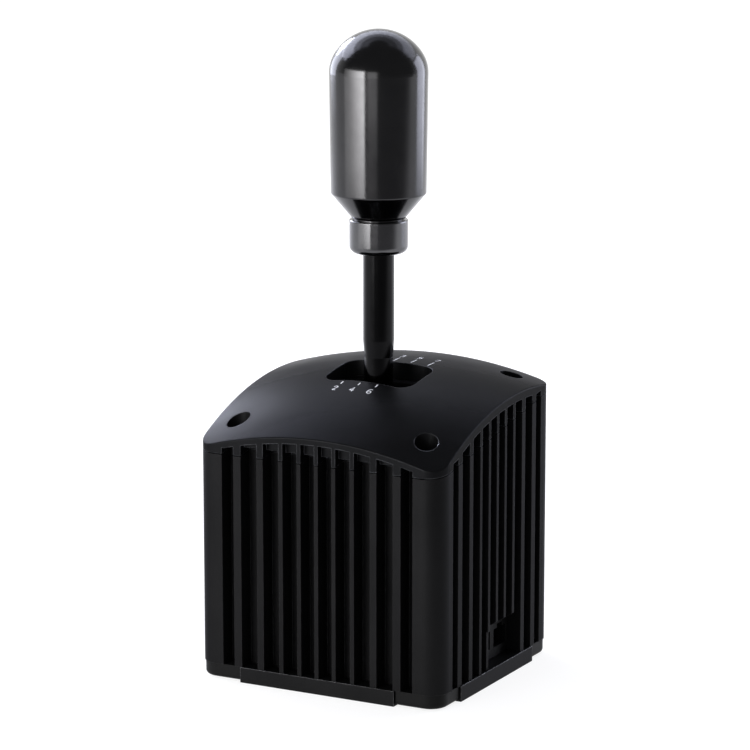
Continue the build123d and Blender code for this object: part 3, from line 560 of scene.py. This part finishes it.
# The floor glows to match the backdrop, less so near the object, and still catches its shadow
FLOOR_REACH = 40.0
FLOOR_GREY = (0.15, 0.15, 0.154)
NEAR_GLOW = (0.82, 0.82, 0.82)
CATCHING_GREY = (0.1, 0.1, 0.1)
CATCHING_WHITE = (0.26, 0.26, 0.26)
BOUNCING = (0.6, 0.6, 0.6)
corners = [(x * FLOOR_REACH, y * FLOOR_REACH, 0.0) for x, y in ((-1, -1), (1, -1), (1, 1), (-1, 1))]
floor_data = bpy.data.meshes.new("floor")
floor_data.from_pydata(corners, [], [(0, 1, 2, 3)])
floor = bpy.data.objects.new("floor", floor_data)
scene.collection.objects.link(floor)
floor_material, nodes = new_material("floor")
floor_data.materials.append(floor_material)
place = nodes.place()
share = white_share(nodes, place, low=-0.6, high=-0.12)
away = nodes.add("ShaderNodeVectorMath", {0: place}, {"operation": "LENGTH"}).outputs["Value"]
near = nodes.ramp(away, low=0.25, high=0.9, to_low=1.0, to_high=0.0, smooth=True)
own_light = nodes.mix(share, FLOOR_GREY, nodes.mix(near, WHITE, NEAR_GLOW))
glow = nodes.add("ShaderNodeEmission", {"Color": own_light})
lit = nodes.add("ShaderNodeBsdfDiffuse", {"Color": nodes.mix(share, CATCHING_GREY, CATCHING_WHITE)})
seen = nodes.add("ShaderNodeAddShader", {0: glow.outputs[0], 1: lit.outputs[0]})
plain = nodes.add("ShaderNodeBsdfDiffuse", {"Color": BOUNCING})
surface = nodes.add("ShaderNodeMixShader", {0: nodes.seen_rays(), 1: plain.outputs[0], 2: seen.outputs[0]})
nodes.add("ShaderNodeOutputMaterial", {"Surface": surface.outputs[0]})

# Soft boxes: side from the camera's azimuth, elevation, distance, width, height, radiance, colour
AIM = Vector((0.0, 0.0, 0.12))
COOL = (0.82, 0.85, 1.0)
NEUTRAL = (1.0, 0.99, 0.98)
SOFT_BOXES = (
    ("fill_front", -15.0, 4.0, 1.3, 0.52, 0.60, 1.9, NEUTRAL),
    ("right_rim", 117.0, 8.0, 1.2, 0.70, 0.90, 4.6, COOL),
    ("left_rim", -134.0, 16.0, 1.2, 0.70, 0.80, 4.8, COOL),
    ("left_back", -152.0, 25.5, 1.2, 0.28, 0.26, 29.0, COOL),
)
# The key light is a row of narrow boxes that fade away from the camera
KEY_START = -36.5
KEY_STEP = 6.6
KEY_ELEVATION = 3.0
KEY_DISTANCE = 1.1
KEY_HEIGHT = 0.6
KEY_RADIANCE = (13.0, 11.2, 9.2, 7.2, 5.2, 3.6, 2.4, 1.5)
# The hood is a dimmer arc behind and above, in rows that fade upwards, seen as the ring round the knob's dome
HOOD_START = -103.0
HOOD_STEP = 9.0
HOOD_DISTANCE = 1.2
HOOD_RADIANCE = (4.5, 6.0, 6.2, 5.8, 5.3, 4.8, 4.1, 3.4, 2.9, 2.5, 2.2, 2.0, 1.9, 1.8, 1.9, 2.1, 2.2, 1.6)
# Each row's elevation, height and share of the radiance
HOOD_ROWS = ((42.0, 0.42, 0.98), (57.0, 0.21, 0.34), (68.0, 0.25, 0.13))


def soft_box(name, side, elevation, distance, width, height, radiance, tint):
    """A rectangular lamp that faces the object, with its angles in degrees."""
    lamp = bpy.data.lights.new(name, "AREA")
    lamp.shape = "RECTANGLE"
    lamp.size = width
    lamp.size_y = height
    lamp.energy = radiance * math.pi * width * height
    lamp.color = tint
    holder = bpy.data.objects.new(name, lamp)
    towards = direction(CAMERA_AZIMUTH + math.radians(side), math.radians(elevation))
    holder.location = AIM + towards * distance
    look_along(holder, towards)
    scene.collection.objects.link(holder)


def span_of(step, radius):
    """The width of a box that fills its step of a row round the object."""
    return 2 * radius * math.tan(math.radians(step) / 2)


for box in SOFT_BOXES:
    soft_box(*box)
for index, radiance in enumerate(KEY_RADIANCE):
    side = KEY_START - KEY_STEP * index
    width = span_of(KEY_STEP, KEY_DISTANCE)
    soft_box("key_%d" % index, side, KEY_ELEVATION, KEY_DISTANCE, width, KEY_HEIGHT, radiance, NEUTRAL)
for row, (rise, height, share) in enumerate(HOOD_ROWS):
    width = span_of(HOOD_STEP, HOOD_DISTANCE * math.cos(math.radians(rise)))
    for index, radiance in enumerate(HOOD_RADIANCE):
        name = "hood_%d_%d" % (row, index)
        side = HOOD_START - HOOD_STEP * index
        soft_box(name, side, rise, HOOD_DISTANCE, width, height, radiance * share, COOL)
